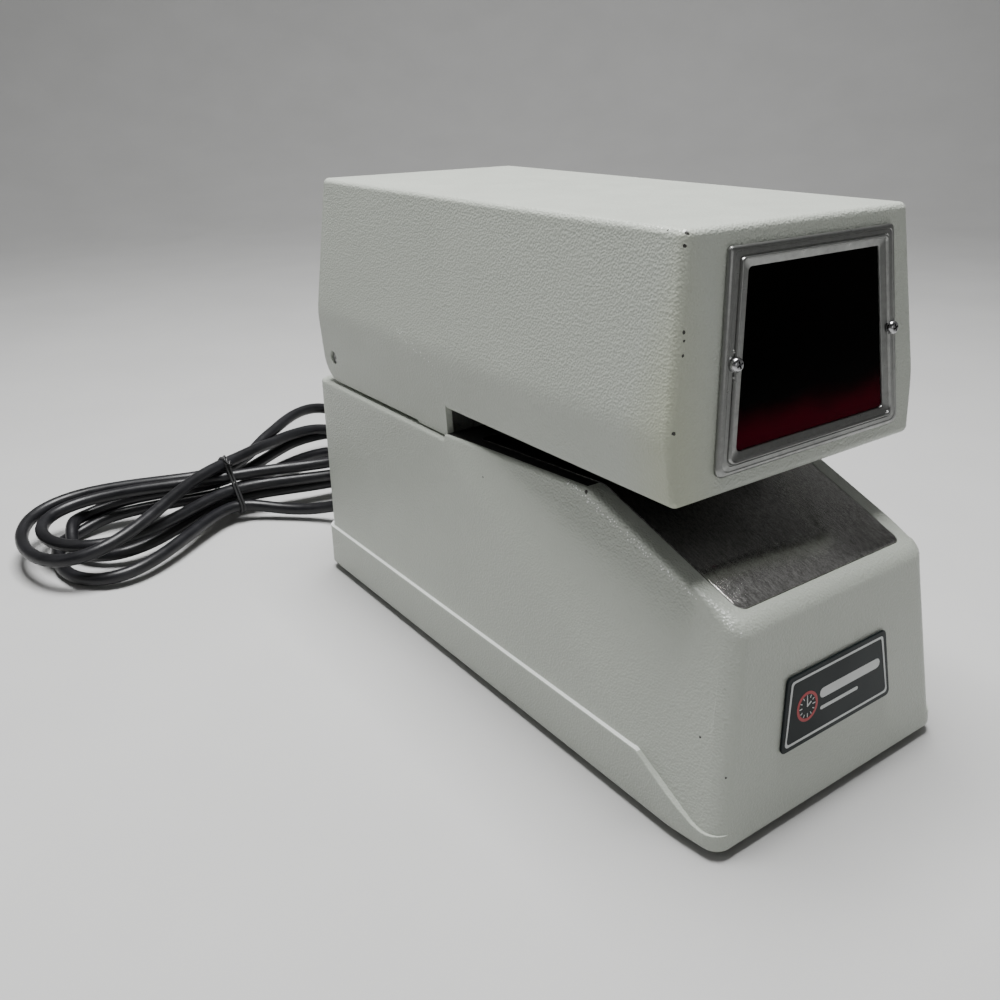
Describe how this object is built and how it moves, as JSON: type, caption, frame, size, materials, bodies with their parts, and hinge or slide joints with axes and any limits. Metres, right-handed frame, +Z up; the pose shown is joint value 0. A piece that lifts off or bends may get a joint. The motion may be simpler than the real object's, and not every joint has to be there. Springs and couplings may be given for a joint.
{
  "type": "time and date stamp",
  "caption": "Desktop electric ticket stamp: cast base with a sloped steel throat, hinged cover with a red window over type wheels, and a bundled mains cord.",
  "frame": {"origin": "centre of the base's footprint, on the table", "axes": "+X to the right seen from the front, -Y out of the window and nameplate side, +Z up"},
  "size_m": [0.268, 0.4501, 0.202],
  "materials": {
    "paint": "semi-gloss wrinkle paint",
    "stainless": "brushed along the throat",
    "steel": "plated",
    "aluminium": "bright pressed",
    "chrome": "polished",
    "brass": "machined",
    "rubber": "matte",
    "cord": "semi-matte jacket",
    "nameplate": "satin",
    "dark_plastic": "moulded",
    "red_lens": "deep red, glossy",
    "type_metal": "inked relief",
    "ribbon": "inked weave",
    "coil": "taped winding",
    "board": "solder mask"
  },
  "bodies": {
    "base": {"base_casting": "paint", "throat_plate": "stainless", "bottom_plate": "steel", "foot_front_left": "rubber", "foot_front_right": "rubber", "foot_rear_left": "rubber", "foot_rear_right": "rubber", "nameplate": "nameplate", "hinge_pin_left": "steel", "hinge_pin_right": "steel", "lock_catch": "steel", "frame_left": "steel", "frame_right": "steel", "frame_tie_front": "steel", "frame_tie_rear": "steel", "throat_guard": "steel", "ribbon_plate": "steel", "ribbon": "ribbon", "type_yoke": "steel", "idler_stud": "steel", "clock_motor": "steel", "solenoid_frame": "steel", "solenoid_coil": "coil", "hammer_spring": "steel", "trigger_bracket": "steel", "microswitch": "dark_plastic", "circuit_board": "board", "board_capacitor": "dark_plastic", "transformer": "steel", "terminal_block": "dark_plastic", "strain_relief": "rubber", "cord_lead": "cord", "cord_tail": "cord", "cord_hank": "cord", "plug_body": "cord"},
    "cover": {"head_cover": "paint", "window_bezel": "aluminium", "window_lens": "red_lens", "bezel_screw_left": "chrome", "bezel_screw_right": "chrome", "lock_body": "chrome"},
    "lock": {"lock_cylinder": "brass", "lock_cam": "steel"},
    "hammer": {"hammer_head": "steel", "hammer_pad": "rubber", "solenoid_plunger": "chrome"},
    "type_drive": {"type_shaft": "steel", "drive_gear": "brass", "minute_wheel": "type_metal"},
    "hour": {"hour_wheel": "type_metal"},
    "day": {"day_wheel": "type_metal"},
    "month": {"month_wheel": "type_metal"},
    "year": {"year_wheel": "type_metal"},
    "idler": {"idler_gear": "brass"},
    "pinion": {"motor_pinion": "brass"},
    "trigger": {"trigger_lever": "steel"},
    "spool_left": {"ribbon_spool_left": "dark_plastic"},
    "spool_right": {"ribbon_spool_right": "dark_plastic"}
  },
  "joints": [
    {"name": "cover_hinge", "type": "hinge", "parent": "base", "child": "cover", "pos_m": [0, 0.122, 0.1195], "axis": [-1, 0, 0], "range_deg": [0, 75]},
    {"name": "lock_turn", "type": "hinge", "parent": "cover", "child": "lock", "pos_m": [0.0536, 0.06, 0.152], "axis": [-1, 0, 0], "range_deg": [0, 90]},
    {"name": "hammer_stroke", "type": "slide", "parent": "base", "child": "hammer", "axis": [0, 0, 1], "range_m": [0, 0.012], "stiffness_N_per_m": 200, "springref_m": -0.005, "deforming": ["hammer_spring"]},
    {"name": "type_spin", "type": "hinge", "parent": "base", "child": "type_drive", "pos_m": [0, -0.05, 0.1393], "axis": [1, 0, 0], "continuous": true},
    {"name": "hour_spin", "type": "hinge", "parent": "base", "child": "hour", "pos_m": [0, -0.05, 0.1393], "axis": [1, 0, 0], "continuous": true},
    {"name": "day_spin", "type": "hinge", "parent": "base", "child": "day", "pos_m": [0, -0.05, 0.1393], "axis": [1, 0, 0], "continuous": true},
    {"name": "month_spin", "type": "hinge", "parent": "base", "child": "month", "pos_m": [0, -0.05, 0.1393], "axis": [1, 0, 0], "continuous": true},
    {"name": "year_spin", "type": "hinge", "parent": "base", "child": "year", "pos_m": [0, -0.05, 0.1393], "axis": [1, 0, 0], "continuous": true},
    {"name": "idler_spin", "type": "hinge", "parent": "base", "child": "idler", "pos_m": [0, -0.017, 0.14637], "axis": [1, 0, 0], "continuous": true},
    {"name": "pinion_spin", "type": "hinge", "parent": "base", "child": "pinion", "pos_m": [0, 0.008, 0.14637], "axis": [1, 0, 0], "continuous": true},
    {"name": "trigger_pull", "type": "hinge", "parent": "base", "child": "trigger", "pos_m": [0, 0.0135, 0.128], "axis": [1, 0, 0], "range_deg": [0, 15], "stiffness_Nm_per_rad": 0.01, "springref_deg": -11.46},
    {"name": "ribbon_feed", "type": "hinge", "parent": "base", "child": "spool_left", "pos_m": [-0.036, -0.05, 0.172], "axis": [0, 1, 0], "continuous": true},
    {"name": "ribbon_take_up", "type": "hinge", "parent": "base", "child": "spool_right", "pos_m": [0.036, -0.05, 0.172], "axis": [0, 1, 0], "continuous": true}
  ],
  "couplings": [
    {"joint": "idler_spin", "follows": "type_spin", "ratio": -0.8},
    {"joint": "pinion_spin", "follows": "type_spin", "ratio": 2.4},
    {"joint": "hour_spin", "follows": "type_spin", "ratio": 0.041667},
    {"joint": "ribbon_take_up", "follows": "ribbon_feed", "ratio": 1}
  ]
}
